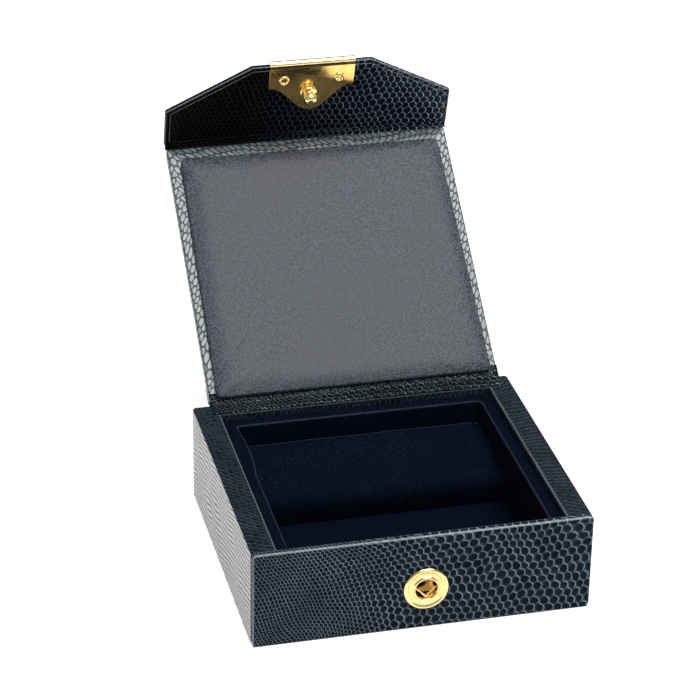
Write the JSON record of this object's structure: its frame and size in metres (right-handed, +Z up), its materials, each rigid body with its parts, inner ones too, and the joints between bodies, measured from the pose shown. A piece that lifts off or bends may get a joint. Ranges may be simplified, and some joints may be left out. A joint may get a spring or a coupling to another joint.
{
  "type": "jewelry box",
  "caption": "Small leather-covered jewellery box with a hinged padded lid, a folding front flap with a brass snap clasp, and a velvet tray with a raised roll.",
  "frame": {"origin": "centre of the underside of the box, on the surface it stands on", "axes": "+Z up, +X to the right seen from the front, +Y to the back, where the lid is hinged"},
  "size_m": [0.112, 0.1786, 0.1295],
  "materials": {
    "leather": "satin",
    "lining_leather": "satin",
    "underside": "matte",
    "velvet": "matte",
    "satin": "satin",
    "foam": "matte",
    "board": "matte",
    "wood": "matte",
    "brass": "polished"
  },
  "bodies": {
    "base": {"underside_cover": "underside", "base_board": "board", "left_wall": "wood", "right_wall": "wood", "back_wall": "wood", "front_panel": "board", "front_rail": "wood", "wall_leather": "leather", "front_leather": "leather", "spine_leather": "leather", "hinge_leather": "lining_leather", "tray_liner": "velvet", "floor_packer": "board", "tray_floor": "velvet", "roll_core": "foam", "roll_cover": "velvet", "socket_ring": "brass", "socket_barrel": "brass", "socket_spring": "brass", "socket_washer": "brass"},
    "lid": {"lid_board": "board", "lid_leather": "leather", "lid_hinge_leather": "lining_leather", "pad_card": "board", "lid_pad": "satin"},
    "flap": {"flap_board": "board", "flap_leather": "leather", "flap_lining": "lining_leather", "crease_leather": "leather", "clasp_plate": "brass", "plate_rivets": "brass", "stud": "brass"}
  },
  "joints": [
    {"name": "lid_hinge", "type": "hinge", "parent": "base", "child": "lid", "pos_m": [0, 0.0486, 0.0349], "axis": [1, 0, 0], "range_deg": [0, 141.9]},
    {"name": "flap_hinge", "type": "hinge", "parent": "lid", "child": "flap", "pos_m": [0, 0.12698, 0.09636], "axis": [1, 0, 0], "range_deg": [-67.8, 22.2]}
  ]
}
